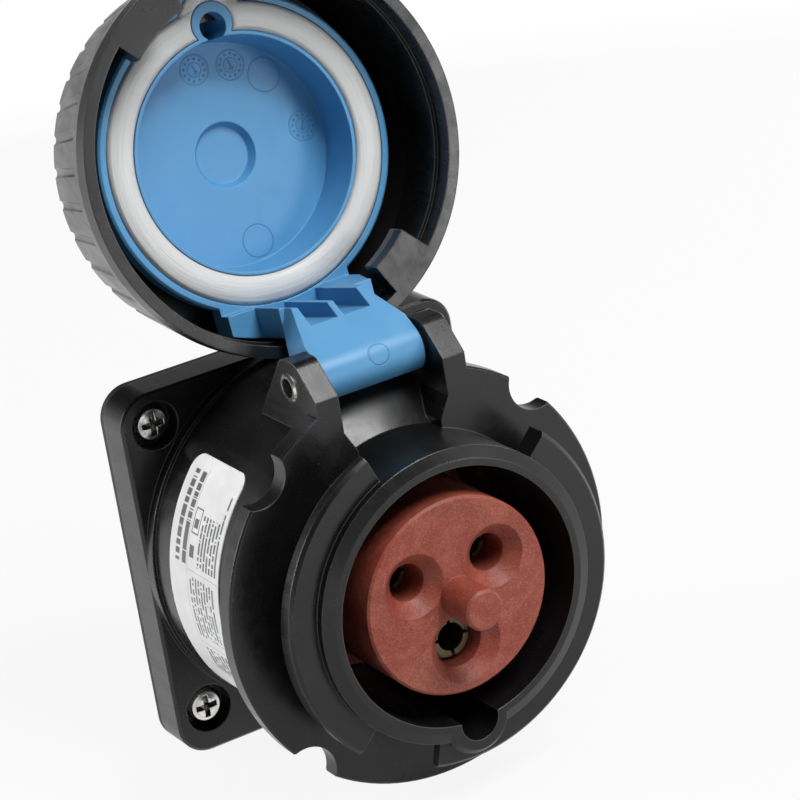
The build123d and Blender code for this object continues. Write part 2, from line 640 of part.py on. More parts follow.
def cap_closed():
    """The blue cap in its closed place."""
    body = turned([
        (0, CAP_RIM), (CAP_RIM_R - CAP_RIM_EDGE, CAP_RIM), (CAP_RIM_R, CAP_RIM + CAP_RIM_EDGE),
        (CAP_RIM_R, CAP_RIM_FRONT),
        (CAP_BODY_R, CAP_RIM_FRONT), (CAP_BODY_R, CAP_FRONT - CAP_EDGE),
        (CAP_BODY_R - CAP_EDGE, CAP_FRONT), (0, CAP_FRONT),
    ])
    body += disc(CAP_BULGE_R, CAP_RIM, CAP_RIM_FRONT, 0, KEYWAY_Z)
    body += hinge_arm()
    body -= gasket_space(LOOSE_GAP / 2)
    body -= turned([
        (0, CAP_RIM - 1), (CAP_MOUTH_R, CAP_RIM - 1), (CAP_MOUTH_R, CAP_RIM),
        (CAP_FLOOR_R, CAP_FLOOR), (0, CAP_FLOOR),
    ])
    body -= disc(CAP_BULGE_HOLE_R, CAP_RIM - 1, CAP_FLOOR, 0, CAP_BULGE_HOLE_Z)
    body -= turned([
        (0, CAP_FLOOR - 1), (RECESS_R, CAP_FLOOR - 1), (RECESS_R, CAP_FLOOR),
        (RECESS_FLOOR_R, CAP_FLOOR + RECESS_DEPTH), (0, CAP_FLOOR + RECESS_DEPTH),
    ])
    body -= tube(CAP_BODY_R + 1, CLIP_GROOVE_R, CLIP_REAR, CLIP_REAR + CLIP_T)
    body -= cross_bar(PIN_R + RUNNING_GAP, -FAR, FAR, HINGE_DEPTH, HINGE_Z)
    return body


def gasket_space(gap):
    """The room of the cap gasket with a gap round it."""
    room = disc(GASKET_R + gap, GASKET_FACE, GASKET_SEAT)
    room += disc(GASKET_BULGE_R + gap, GASKET_FACE, GASKET_SEAT, 0, KEYWAY_Z)
    inner = disc(CAP_WALL_R + (LOOSE_GAP / 2 - gap), GASKET_FACE - 1, FAR)
    inner += disc(CAP_BULGE_INNER_R + (LOOSE_GAP / 2 - gap), GASKET_FACE - 1, FAR, 0, KEYWAY_Z)
    return room - inner


def gasket_closed():
    """The soft gasket of the cap in its closed place."""
    ring = gasket_space(0)
    face = ring.faces().filter_by(Axis.Y).sort_by(Axis.Y)[-1]
    return fillet(face.edges(), GASKET_ROUND)


def bayonet_ring_closed():
    """The bayonet ring in its closed, unlocked place."""
    shell = turned([
        (RING_MOUTH_R, RING_RIM),
        (RING_R, RING_RIM),
        (RING_R, RING_STRAIGHT),
        (RING_FRONT_R, RING_TAPER_END),
        (RING_FRONT_R - RING_EDGE, RING_FRONT),
        (CAP_BODY_R + RUNNING_GAP, RING_FRONT),
        (CAP_BODY_R + RUNNING_GAP, HUB_REAR),
        (HUB_R, HUB_REAR),
        (HUB_R, RING_WEB_REAR),
        (RING_INNER_END_R, RING_WEB_REAR),
        (RING_INNER_R, RING_INNER_FRONT),
        (RING_INNER_R, CLAW_FRONT),
        (RING_MOUTH_R, CLAW_FRONT),
    ])
    for start, end, bore_r in (NEAR_CLAW, FAR_CLAW):
        claw = turned([
            (RING_MOUTH_R + EDGE, RING_RIM), (bore_r + EDGE, RING_RIM), (bore_r, RING_RIM + CLAW_ROUND),
            (bore_r, CLAW_FRONT), (RING_MOUTH_R + EDGE, CLAW_FRONT),
        ])
        shell += claw & wedge(start, end, RING_RIM - 1, CLAW_FRONT + 1)
    taper = (RING_R - RING_FRONT_R) / (RING_TAPER_END - RING_STRAIGHT)
    flute = disc(FLUTE_R, FLUTE_REAR, FAR)
    pivot = Axis((0, -FLUTE_REAR, 0), (0, 0, 1))
    start_r = RING_R - (FLUTE_REAR - RING_STRAIGHT) * taper
    flute = Pos(start_r + FLUTE_R * FLUTE_SINK, 0, 0) * flute.rotate(pivot, -degrees(atan(taper)))
    for i in range(FLUTE_COUNT):
        shell -= Rot(0, 360 / FLUTE_COUNT * i, 0) * flute
    return shell


def ring_clip_closed():
    """The snap ring that keeps the bayonet ring on the cap, closed place."""
    clip = tube(CLIP_R, CLIP_GROOVE_R + RUNNING_GAP, CLIP_REAR, CLIP_REAR + CLIP_T)
    return clip - along(Pos(0, -CLIP_R) * Rectangle(CLIP_OPENING, CLIP_R), 0, FAR)


def opened(shape):
    """A cap piece swung from its closed place to the open place."""
    turned_back = shape.rotate(Axis((0, -HINGE_DEPTH, HINGE_Z), (1, 0, 0)), -OPEN_TURN)
    return Pos(-CAP_SIDE_PLAY, 0, 0) * turned_back


def main():
    """Builds every piece and writes its file."""
    os.makedirs("parts", exist_ok=True)
    pieces = {
        "head_housing": head_housing(),
        "flange_gasket": flange_gasket(),
        "flange_screws": flange_screws(),
        "flange_washers": flange_washers(),
        "label": label(),
        "contact_insert": contact_insert(),
        "line_contact": contact(LINE),
        "neutral_contact": contact(NEUTRAL),
        "earth_contact": contact(EARTH),
        "line_contact_spring": contact_spring(LINE),
        "neutral_contact_spring": contact_spring(NEUTRAL),
        "earth_contact_spring": contact_spring(EARTH),
        "terminal_screws": terminal_screws(),
        "insert_seal": insert_seal(),
        "insert_retaining_ring": insert_retainer(),
        "retaining_ring_screws": retainer_screws(),
        "hinge_pin": hinge_pin(),
        "cap": opened(cap_closed()),
        "cap_gasket": opened(gasket_closed()),
        "bayonet_ring": opened(bayonet_ring_closed()),
        "bayonet_ring_clip": opened(ring_clip_closed()),
    }
    for name, piece in pieces.items():
        export_step(piece, f"parts/{name}.step")


main()
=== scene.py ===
"""Looks of the industrial power connector: materials, floor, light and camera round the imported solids."""

import bpy
import math
from mathutils import Matrix, Vector

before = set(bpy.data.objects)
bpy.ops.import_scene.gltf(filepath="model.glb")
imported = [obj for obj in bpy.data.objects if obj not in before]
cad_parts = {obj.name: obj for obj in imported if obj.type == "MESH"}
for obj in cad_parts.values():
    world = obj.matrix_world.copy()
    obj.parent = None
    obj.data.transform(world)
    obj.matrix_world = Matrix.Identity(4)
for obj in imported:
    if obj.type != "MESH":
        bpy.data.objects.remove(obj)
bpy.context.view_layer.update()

MM = 0.001
FULL_TURN = 2 * math.pi

# Sizes of the part that the surface marks follow
HINGE_DEPTH = 44.2 * MM
HINGE_Z = 44.9 * MM
OPEN_TURN = math.radians(192.3)
CAP_SIDE_PLAY = 0.7 * MM
CAP_FLOOR = 81.0 * MM
KNUCKLE_R = 5.1 * MM
GASKET_MIDDLE_R = 28.4 * MM
GASKET_HALF_WIDTH = 3.1 * MM
BARREL_R = 39.8 * MM
LABEL_REAR = 19.5 * MM
LABEL_MIDDLE = math.radians(173.5)
SCREW_OFFSET = 32.9 * MM
SCREW_FACE = 9.2 * MM
RECESS_R = 2.6 * MM
THREAD_PITCH = 0.7 * MM
THREAD_START = 0.6 * MM

# Mould marks in millimetres: a place across and up from the middle of the cap, then a dial's turn
# in degrees or a circle's radius
DIALS = (((-1.9, -18.9), 75), ((6.4, -17.8), 80), ((19.1, -1.1), 115))
EJECTOR_CIRCLES = (((13.4, -13.9), 3.7), ((2.0, 19.4), 3.5))
CIRCLE_LINE = 0.2
DIAL_R = 3.2
DIAL_LINE = 0.16
DIAL_INNER_R = 1.55
DIAL_INNER_LINE = 0.14
# The knuckle's circle: a place across, and round the knuckle from straight ahead
KNUCKLE_MARK = (1.4, 2.39)
KNUCKLE_MARK_R = 2.25

# Dots and pointer of a dial
DIAL_DOTS = 12
DIAL_DOTS_R = 2.4 * MM
DOT_CORE_R = 0.18 * MM
DOT_R = 0.32 * MM
SHAFT_REAR = -1.1 * MM
SHAFT_FRONT = 1.0 * MM
SHAFT_SOFTNESS = 0.08 * MM
SHAFT_CORE = 0.12 * MM
SHAFT_HALF_WIDTH = 0.26 * MM
TIP_REAR = 0.55 * MM
TIP_FRONT = 1.3 * MM
TIP_SOFTNESS = 0.06 * MM
TIP_POINT = 1.25 * MM

# Depths of surface effects, and widths of softened edges
MARK_DEPTH = 0.16 * MM
THREAD_DEPTH = 0.6 * MM
DRAWN_LINE_DEPTH = 0.004 * MM
MOULD_GRAIN_DEPTH = 0.02 * MM
RUBBER_GRAIN_DEPTH = 0.03 * MM
RED_GRAIN_DEPTH = 0.04 * MM
FILM_DEPTH = 0.02 * MM
SWELL_DEPTH = 0.4 * MM
CROWN_HEIGHT = 0.9 * MM
GASKET_STREAK_DEPTH = 0.15 * MM
EDGE_WIDTH = 0.4 * MM
FINE_EDGE_WIDTH = 0.3 * MM

# Strength of marks and print, from 0 to 1
FAINT_MARK = 0.55
# How much the mould marks are darkened: painted shade in their fine relief
MARK_SHADE_STRENGTH = 0.6
LABEL_INK = 0.9
LABEL_LINE_INK = 0.7

# Label print as plain shapes, in millimetres forward from the rear edge and up from the middle.
# Rows of bars: first row, pitch, count, low end, high end, share of the pitch that is inked, noise place
LABEL_ROWS = (
    (2.0, 2.9, 2, 4.0, 23.5, 0.6, 1.0),
    (11.8, 1.25, 6, 4.5, 15.5, 0.55, 2.0),
    (19.3, 1.2, 1, 4.5, 21.5, 0.5, 5.0),
    (8.6, 1.2, 9, -11.5, 2.0, 0.5, 3.0),
    (8.6, 1.6, 7, -20.5, -14.5, 0.55, 4.0),
)
# Blocks and thin lines: rear, front, low and high end
LABEL_BOX = (8.3, 11.3, 11.0, 16.5)
LABEL_BOX_LINE = 0.3
LABEL_BLOCKS = ((8.9, 10.6, 12.2, 14.2), (8.5, 10.4, 6.0, 8.6))
LABEL_LINES = ((7.70, 7.82, -14.0, 24.5), (7.7, 21.0, 3.2, 3.32), (7.7, 21.0, -13.3, -13.18))
LABEL_SOFTNESS = 0.06
WORD_CELLS = 1.1
WORD_ROW_STEP = 7.3

# Fineness of the surface patterns, in cells per metre
CLOUD = 38
RUB = 90
STREAK = 260
SPECK = 900
FINE_GRAIN = 2600
SWELL = 34
DULL_PATCH = 420
DRAWN_LINE = 5200
RED_FLOW_LINE = 110
RED_STAIN_PATCH = 48
RED_GRAIN = 3200
FILM_CLOUD = 160
# Streaks of the gasket: cells, and their spread across and round it
GASKET_STREAK = 1.6
GASKET_STREAK_ACROSS = 2.2
GASKET_STREAK_ROUND = 1.3

# Colours
BLACK = (0.005, 0.005, 0.0053, 1)
BLACK_WORN = (0.016, 0.016, 0.0165, 1)
# Edge colour of the black moulding: edge wear and a painted highlight along the edges
BLACK_EDGE_WEAR_AND_HIGHLIGHT = (0.13, 0.13, 0.13, 1)
BLUE = (0.072, 0.28, 0.53, 1)
BLUE_WORN = (0.13, 0.36, 0.61, 1)
# Edge colour of the cap: edge wear and a painted highlight along the edges
BLUE_EDGE_WEAR_AND_HIGHLIGHT = (0.22, 0.50, 0.80, 1)
# Darker blue on the mould marks: painted shade in their relief
BLUE_MARK_SHADE = (0.012, 0.13, 0.33, 1)
RED = (0.235, 0.033, 0.018, 1)
RED_WORN = (0.34, 0.085, 0.055, 1)
RED_FLOW = (0.38, 0.11, 0.07, 1)
RED_STAIN = (0.16, 0.035, 0.022, 1)
RED_LIGHT_GRAIN = (0.50, 0.20, 0.14, 1)
RED_DARK_GRAIN = (0.12, 0.018, 0.011, 1)
# Edge colour of the insert: edge wear and a painted highlight along the edges
RED_EDGE_WEAR_AND_HIGHLIGHT = (0.52, 0.20, 0.14, 1)
GASKET_WHITE = (0.66, 0.67, 0.67, 1)
GASKET_WORN = (0.55, 0.56, 0.56, 1)
GASKET_SOILED = (0.42, 0.42, 0.41, 1)
RUBBER = (0.018, 0.018, 0.018, 1)
RUBBER_WORN = (0.05, 0.05, 0.05, 1)
DUST = (0.55, 0.55, 0.53, 1)
PLATED_STEEL = (0.78, 0.77, 0.75, 1)
PLATED_SCREW = (0.80, 0.79, 0.77, 1)
PLATING_DULL = (0.45, 0.44, 0.42, 1)
# Edge colour of the screws: a painted highlight along the edges, with some wear
SCREW_EDGE_WEAR_AND_HIGHLIGHT = (0.88, 0.87, 0.85, 1)
# Darker colour in the screws' cross recess: painted shade
SCREW_RECESS_SHADE = (0.17, 0.165, 0.155, 1)
# The contacts' brass is painted dark: painted shade for the deep holes they sit in
CONTACT_SHADED = (0.15, 0.125, 0.075, 1)
CONTACT_DULL_SHADED = (0.07, 0.06, 0.035, 1)
SPRING_STEEL = (0.20, 0.20, 0.205, 1)
SPRING_DULL = (0.10, 0.10, 0.105, 1)
PIN_TUBE = (0.74, 0.73, 0.71, 1)
PIN_TUBE_DULL = (0.45, 0.44, 0.43, 1)
FILM_DARK = (0.76, 0.76, 0.765, 1)
FILM_LIGHT = (0.84, 0.84, 0.845, 1)
INK = (0.035, 0.035, 0.04, 1)
FLOOR_GREY = (0.55, 0.55, 0.55, 1)

# Camera of the photograph
AZIMUTH = math.radians(-27.8825)
ELEVATION = math.radians(20.6210)
ROLL = math.radians(-9.1322)
AIM = Vector((0, -44.0 * MM, 0))
AIM_RIGHT = -0.817 * MM
AIM_DOWN = 33.686 * MM
DISTANCE = 665.86 * MM
LENS = 144.61
SENSOR_WIDTH = 36.0
NEAREST_SEEN = 0.05
FARTHEST_SEEN = 50.0

# Floor, in metres, and how white it is to the camera and in the part's gloss
FLOOR_Z = -46.0 * MM
FLOOR_SIZE = 12.0
FLOOR_WHITE = 0.9
FLOOR_FADE_START = 0.15
FLOOR_FADE_END = 0.6
DIM_PATCH = (-0.06, -0.18)
DIM_PATCH_START = 0.09
DIM_PATCH_END = 0.18

# Sky: light from all round, and a white horizon seen by camera and gloss, dimmer on the left in gloss
SKY_LIGHT = 0.12
HORIZON_LOW = 0.15
HORIZON_HIGH = 0.45
LEFT_END = 0.1
RIGHT_START = 0.7
LEFT_WHITE = 0.35

# Lamps: name, place, width in metres, power in watts
LAMP_AIM = (0, -0.03, 0.03)
LAMPS = (
    ("key", (0.22, -0.56, 0.96), 0.5, 12.5),
    ("back left", (-0.88, 0.42, 0.30), 0.5, 7.0),
    ("rim", (0.8, 0.3, 0.5), 0.5, 4.0),
    ("front right", (0.62, -1.02, 0.12), 0.3, 2.0),
)


# Node helpers

def put(tree, value, socket):
    """Links a socket to an input, or sets the input to a number."""
    if isinstance(value, bpy.types.NodeSocket):
        tree.links.new(value, socket)
    else:
        socket.default_value = value


def math_node(tree, kind, *values, clamp=False):
    """One math step; returns its result socket."""
    node = tree.nodes.new("ShaderNodeMath")
    node.operation = kind
    node.use_clamp = clamp
    for value, socket in zip(values, node.inputs):
        put(tree, value, socket)
    return node.outputs[0]


def plus(tree, first, second, clamp=False):
    """The sum of two values."""
    return math_node(tree, "ADD", first, second, clamp=clamp)


def minus(tree, first, second, clamp=False):
    """The first value less the second."""
    return math_node(tree, "SUBTRACT", first, second, clamp=clamp)


def times(tree, first, second):
    """The product of two values."""
    return math_node(tree, "MULTIPLY", first, second)


def most(tree, first, *others):
    """The largest of some values."""
    for other in others:
        first = math_node(tree, "MAXIMUM", first, other)
    return first


def size_of(tree, value):
    """A value without its sign."""
    return math_node(tree, "ABSOLUTE", value)


def reach_of(tree, across, up):
    """The distance to a place that lies so far across and up."""
    return math_node(tree, "SQRT", plus(tree, times(tree, across, across), times(tree, up, up)))


def angle_of(tree, up, across):
    """The angle to a place that lies so far across and up."""
    return math_node(tree, "ARCTAN2", up, across)


def ramp(tree, value, low, high, out_low=0.0, out_high=1.0):
    """Maps a value smoothly from one range to another, clamped."""
    node = tree.nodes.new("ShaderNodeMapRange")
    node.interpolation_type = "SMOOTHSTEP"
    put(tree, value, node.inputs["Value"])
    node.inputs["From Min"].default_value = low
    node.inputs["From Max"].default_value = high
    node.inputs["To Min"].default_value = out_low
    node.inputs["To Max"].default_value = out_high
    return node.outputs["Result"]


def band(tree, value, low, high, soft):
    """1 between two values, with soft ends."""
    up = ramp(tree, value, low - soft, low + soft)
    down = ramp(tree, value, high - soft, high + soft, 1.0, 0.0)
    return times(tree, up, down)


def noise(tree, point, cells, detail, roughness, distortion=0.0):
    """A noise value with a number of cells per unit of the point."""
    node = tree.nodes.new("ShaderNodeTexNoise")
    tree.links.new(point, node.inputs["Vector"])
    node.inputs["Scale"].default_value = cells
    node.inputs["Detail"].default_value = detail
    node.inputs["Roughness"].default_value = roughness
    node.inputs["Distortion"].default_value = distortion
    return node.outputs["Fac"]


def mix_color(tree, factor, first, second):
    """A colour between two colours."""
    node = tree.nodes.new("ShaderNodeMix")
    node.data_type = "RGBA"
    put(tree, factor, node.inputs["Factor"])
    put(tree, first, node.inputs["A"])
    put(tree, second, node.inputs["B"])
    return node.outputs["Result"]


def object_point(tree):
    """The surface point in the part's frame."""
    return tree.nodes.new("ShaderNodeTexCoord").outputs["Object"]


def split(tree, vector):
    """The three numbers of a vector."""
    node = tree.nodes.new("ShaderNodeSeparateXYZ")
    tree.links.new(vector, node.inputs[0])
    return node.outputs[0], node.outputs[1], node.outputs[2]


def join(tree, x, y, z):
    """A vector from three numbers."""
    node = tree.nodes.new("ShaderNodeCombineXYZ")
    for value, socket in zip((x, y, z), node.inputs):
        put(tree, value, socket)
    return node.outputs[0]


def stretched(tree, point, factors):
    """A point with each of its numbers times a factor, which draws a pattern out."""
    numbers = [times(tree, number, factor) for number, factor in zip(split(tree, point), factors)]
    return join(tree, *numbers)


# Shared effects

SURFACE_OUTPUTS = (
    ("NodeSocketColor", "Color"),
    ("NodeSocketFloat", "Roughness"),
    ("NodeSocketFloat", "Height"),
)


def new_group(name, inputs, outputs):
    """An empty shared effect with its sockets."""
    group = bpy.data.node_groups.new(name, "ShaderNodeTree")
    for kind, key, default in inputs:
        socket = group.interface.new_socket(key, in_out="INPUT", socket_type=kind)
        socket.default_value = default
    for kind, key in outputs:
        group.interface.new_socket(key, in_out="OUTPUT", socket_type=kind)
    return group, group.nodes.new("NodeGroupInput"), group.nodes.new("NodeGroupOutput")


def edge_group():
    """Softened edges: the rounded normal, and a mask of where an edge turns."""
    outputs = (("NodeSocketFloat", "Mask"), ("NodeSocketVector", "Normal"))
    group, given, out = new_group("Soft edges", [("NodeSocketFloat", "Width", EDGE_WIDTH)], outputs)
    rounded = group.nodes.new("ShaderNodeBevel")
    rounded.samples = 6
    group.links.new(given.outputs["Width"], rounded.inputs["Radius"])
    facing = group.nodes.new("ShaderNodeVectorMath")
    facing.operation = "DOT_PRODUCT"
    flat = group.nodes.new("ShaderNodeNewGeometry").outputs["Normal"]
    group.links.new(rounded.outputs[0], facing.inputs[0])
    group.links.new(flat, facing.inputs[1])
    group.links.new(ramp(group, facing.outputs["Value"], 0.80, 0.985, 1.0, 0.0), out.inputs["Mask"])
    group.links.new(rounded.outputs[0], out.inputs["Normal"])
    return group


def moulded_color(tree, given, cloud, worn):
    """The moulding's colour with cloudy tone, rubbed patches and specks of dust."""
    speck = ramp(tree, noise(tree, object_point(tree), SPECK, 2, 0.5), 0.76, 0.80)
    speck = times(tree, speck, times(tree, given.outputs["Wear"], 0.6))
    cloudy = ramp(tree, cloud, 0.3, 0.7, 0.0, 0.16)
    tone = mix_color(tree, cloudy, given.outputs["Color"], given.outputs["Worn color"])
    tone = mix_color(tree, worn, tone, given.outputs["Worn color"])
    return mix_color(tree, speck, tone, DUST)


def moulded_group():
    """Moulded plastic: fine grain, cloudy tone, rubbed patches and light dust."""
    inputs = (
        ("NodeSocketColor", "Color", (0.5, 0.5, 0.5, 1)),
        ("NodeSocketColor", "Worn color", (0.6, 0.6, 0.6, 1)),
        ("NodeSocketFloat", "Wear", 0.2),
        ("NodeSocketFloat", "Roughness", 0.4),
        ("NodeSocketFloat", "Grain", 0.3),
    )
    group, given, out = new_group("Moulded surface", inputs, SURFACE_OUTPUTS)
    point = object_point(group)
    cloud = noise(group, point, CLOUD, 4, 0.6)
    streak = noise(group, stretched(group, point, (1, 0.12, 1)), STREAK, 5, 0.65, 0.4)
    worn = ramp(group, noise(group, point, RUB, 6, 0.7, 0.8), 0.52, 0.72)
    worn = times(group, worn, given.outputs["Wear"])
    group.links.new(moulded_color(group, given, cloud, worn), out.inputs["Color"])
    rough = plus(group, given.outputs["Roughness"], ramp(group, cloud, 0.25, 0.75, -0.05, 0.06))
    rough = plus(group, rough, ramp(group, streak, 0.4, 0.7, -0.03, 0.05))
    rough = plus(group, rough, times(group, worn, 0.15), clamp=True)
    group.links.new(rough, out.inputs["Roughness"])
    grain = times(group, noise(group, point, FINE_GRAIN, 2, 0.5), given.outputs["Grain"])
    group.links.new(plus(group, grain, times(group, streak, 0.12)), out.inputs["Height"])
    return group


def metal_group():
    """Bare or plated metal: drawn lines and dull patches."""
    inputs = (
        ("NodeSocketColor", "Color", (0.6, 0.6, 0.6, 1)),
        ("NodeSocketColor", "Dull color", (0.3, 0.3, 0.3, 1)),
        ("NodeSocketFloat", "Roughness", 0.25),
        ("NodeSocketFloat", "Dulling", 0.6),
    )
    group, given, out = new_group("Metal surface", inputs, SURFACE_OUTPUTS)
    point = object_point(group)
    dull = ramp(group, noise(group, point, DULL_PATCH, 5, 0.6, 0.5), 0.45, 0.75)
    dull = times(group, dull, given.outputs["Dulling"])
    lines = noise(group, stretched(group, point, (0.15, 1, 1)), DRAWN_LINE, 3, 0.6)
    tone = mix_color(group, dull, given.outputs["Color"], given.outputs["Dull color"])
    group.links.new(tone, out.inputs["Color"])
    rough = plus(group, given.outputs["Roughness"], times(group, dull, 0.4))
    rough = plus(group, rough, ramp(group, lines, 0.3, 0.7, -0.04, 0.06), clamp=True)
    group.links.new(rough, out.inputs["Roughness"])
    group.links.new(plus(group, lines, times(group, dull, 0.5)), out.inputs["Height"])
    return group


MOULDED = moulded_group()
METAL = metal_group()
EDGES = edge_group()


# Parts of a material

def blank_material(name):
    """A material with one shader; returns the material, its tree and the shader."""
    material = bpy.data.materials.new(name)
    material.use_nodes = True
    tree = material.node_tree
    tree.nodes.clear()
    shader = tree.nodes.new("ShaderNodeBsdfPrincipled")
    output = tree.nodes.new("ShaderNodeOutputMaterial")
    tree.links.new(shader.outputs[0], output.inputs["Surface"])
    return material, tree, shader


def use_group(tree, group, **values):
    """One shared effect in a material, with its numbers set."""
    node = tree.nodes.new("ShaderNodeGroup")
    node.node_tree = group
    for key, value in values.items():
        node.inputs[key.replace("_", " ")].default_value = value
    return node


def bump(tree, shader, height, distance, normal=None):
    """Joins a height to the shader's normal, over another normal if one is given."""
    node = tree.nodes.new("ShaderNodeBump")
    node.inputs["Distance"].default_value = distance
    tree.links.new(height, node.inputs["Height"])
    if normal is not None:
        tree.links.new(normal, node.inputs["Normal"])
    tree.links.new(node.outputs[0], shader.inputs["Normal"])
    return node.outputs[0]


def worn_and_highlit_edges(tree, shader, color, edge_color, amount, width):
    """Lightens the edges of a colour, as wear and as a painted highlight; returns the rounded normal."""
    edges = use_group(tree, EDGES, Width=width)
    mask = times(tree, edges.outputs["Mask"], amount)
    tree.links.new(mix_color(tree, mask, color, edge_color), shader.inputs["Base Color"])
    return edges.outputs["Normal"]


def moulded_material(name, **values):
    """A moulded plastic without its colour and bump; returns the material, its tree, shader and effect."""
    material, tree, shader = blank_material(name)
    effect = use_group(tree, MOULDED, **values)
    tree.links.new(effect.outputs["Roughness"], shader.inputs["Roughness"])
    return material, tree, shader, effect


def bare_metal(name, color, dull, roughness, dulling):
    """A metal without its colour and bump; returns the material, its tree, shader and effect."""
    material, tree, shader = blank_material(name)
    effect = use_group(tree, METAL, Color=color, Dull_color=dull, Roughness=roughness, Dulling=dulling)
    shader.inputs["Metallic"].default_value = 1.0
    tree.links.new(effect.outputs["Roughness"], shader.inputs["Roughness"])
    return material, tree, shader, effect


def metal_material(name, color, dull, roughness, dulling):
    """A metal with drawn lines and dull patches."""
    material, tree, shader, effect = bare_metal(name, color, dull, roughness, dulling)
    tree.links.new(effect.outputs["Color"], shader.inputs["Base Color"])
    bump(tree, shader, effect.outputs["Height"], DRAWN_LINE_DEPTH)
    return material


# Flange screws

def from_screw(tree):
    """How far a surface point lies across and up from the axis of its screw, and its y."""
    x, y, z = split(tree, object_point(tree))
    across = minus(tree, size_of(tree, x), SCREW_OFFSET)
    above = minus(tree, size_of(tree, z), SCREW_OFFSET)
    return across, above, y


def thread_height(tree):
    """The screws' thread: a ridge that winds round each screw behind the mounting face."""
    across, above, y = from_screw(tree)
    turn = math_node(tree, "DIVIDE", angle_of(tree, above, across), FULL_TURN)
    wound = math_node(tree, "FRACT", plus(tree, math_node(tree, "DIVIDE", y, THREAD_PITCH), turn))
    ridge = size_of(tree, minus(tree, wound, 0.5))
    return times(tree, ridge, ramp(tree, y, THREAD_START, THREAD_START + 0.2 * MM))


def recess_shade_mask(tree):
    """1 in the cross recess of the screw heads, which is darkened there as painted shade."""
    across, above, y = from_screw(tree)
    inside = ramp(tree, reach_of(tree, across, above), RECESS_R, RECESS_R + 0.1 * MM, 1.0, 0.0)
    sunk = ramp(tree, y, -SCREW_FACE + 0.05 * MM, -SCREW_FACE + 0.35 * MM)
    return times(tree, inside, sunk)


def screw_material():
    """The plated flange screws: thread, a recess darkened as painted shade, and edges lightened as a
    painted highlight.
    """
    material, tree, shader, effect = bare_metal("Plated screw", PLATED_SCREW, PLATING_DULL, 0.16, 0.3)
    # the cross recess is darkened as painted shade
    tone = mix_color(tree, recess_shade_mask(tree), effect.outputs["Color"], SCREW_RECESS_SHADE)
    # edges lightened as a painted highlight and wear
    rounded = worn_and_highlit_edges(tree, shader, tone, SCREW_EDGE_WEAR_AND_HIGHLIGHT, 0.5, FINE_EDGE_WIDTH)
    threaded = bump(tree, shader, thread_height(tree), THREAD_DEPTH, rounded)
    bump(tree, shader, effect.outputs["Height"], DRAWN_LINE_DEPTH, threaded)
    return material


# Cap with its mould marks

def closed_point(tree):
    """The surface point of a cap piece as if the cap were closed: x, depth, z."""
    turn = Matrix.Rotation(OPEN_TURN, 4, "X")
    pivot = Vector((0, -HINGE_DEPTH, HINGE_Z))
    move = tree.nodes.new("ShaderNodeMapping")
    move.vector_type = "POINT"
    move.inputs["Rotation"].default_value = (OPEN_TURN, 0, 0)
    move.inputs["Location"].default_value = pivot - turn @ (pivot - Vector((CAP_SIDE_PLAY, 0, 0)))
    tree.links.new(object_point(tree), move.inputs["Vector"])
    x, y, z = split(tree, move.outputs[0])
    return x, times(tree, y, -1.0), z


def away_from(tree, x, z, centre):
    """How far a place lies across and up from a centre in millimetres."""
    return minus(tree, x, centre[0] * MM), minus(tree, z, centre[1] * MM)


def circle_line(tree, reach, radius, width):
    """1 on a thin circle, 0 elsewhere; its radius and width are in millimetres."""
    off = size_of(tree, minus(tree, reach, radius * MM))
    return ramp(tree, off, width * 0.4 * MM, width * MM, 1.0, 0.0)


def circle_mark(tree, x, z, centre, radius):
    """The fine circle that an ejector pin leaves."""
    reach = reach_of(tree, *away_from(tree, x, z, centre))
    return circle_line(tree, reach, radius, CIRCLE_LINE)


def dial_pointer(tree, dx, dz, turn):
    """The arrow of a dial: a shaft with a tip."""
    c = math.cos(turn)
    s = math.sin(turn)
    along = plus(tree, times(tree, dx, c), times(tree, dz, s))
    across = size_of(tree, minus(tree, times(tree, dz, c), times(tree, dx, s)))
    shaft = band(tree, along, SHAFT_REAR, SHAFT_FRONT, SHAFT_SOFTNESS)
    shaft = times(tree, shaft, ramp(tree, across, SHAFT_CORE, SHAFT_HALF_WIDTH, 1.0, 0.0))
    slope = minus(tree, minus(tree, TIP_POINT, along), across)
    tip = band(tree, along, TIP_REAR, TIP_FRONT, TIP_SOFTNESS)
    tip = times(tree, tip, ramp(tree, slope, 0.0, SHAFT_CORE))
    return most(tree, shaft, tip)


def dial_dots(tree, dx, dz, reach):
    """A ring of dots in a dial, in place of figures."""
    place = times(tree, angle_of(tree, dz, dx), DIAL_DOTS / FULL_TURN)
    step = minus(tree, math_node(tree, "FRACT", place), 0.5)
    sideways = times(tree, step, DIAL_DOTS_R * FULL_TURN / DIAL_DOTS)
    inward = minus(tree, reach, DIAL_DOTS_R)
    return ramp(tree, reach_of(tree, sideways, inward), DOT_CORE_R, DOT_R, 1.0, 0.0)


def dial_mark(tree, x, z, centre, turn):
    """A moulded date dial without figures: two circles, a pointer and dots."""
    dx, dz = away_from(tree, x, z, centre)
    reach = reach_of(tree, dx, dz)
    outer = circle_line(tree, reach, DIAL_R, DIAL_LINE)
    inner = circle_line(tree, reach, DIAL_INNER_R, DIAL_INNER_LINE)
    circles = times(tree, most(tree, outer, inner), FAINT_MARK)
    return most(tree, circles, dial_pointer(tree, dx, dz, turn), dial_dots(tree, dx, dz, reach))


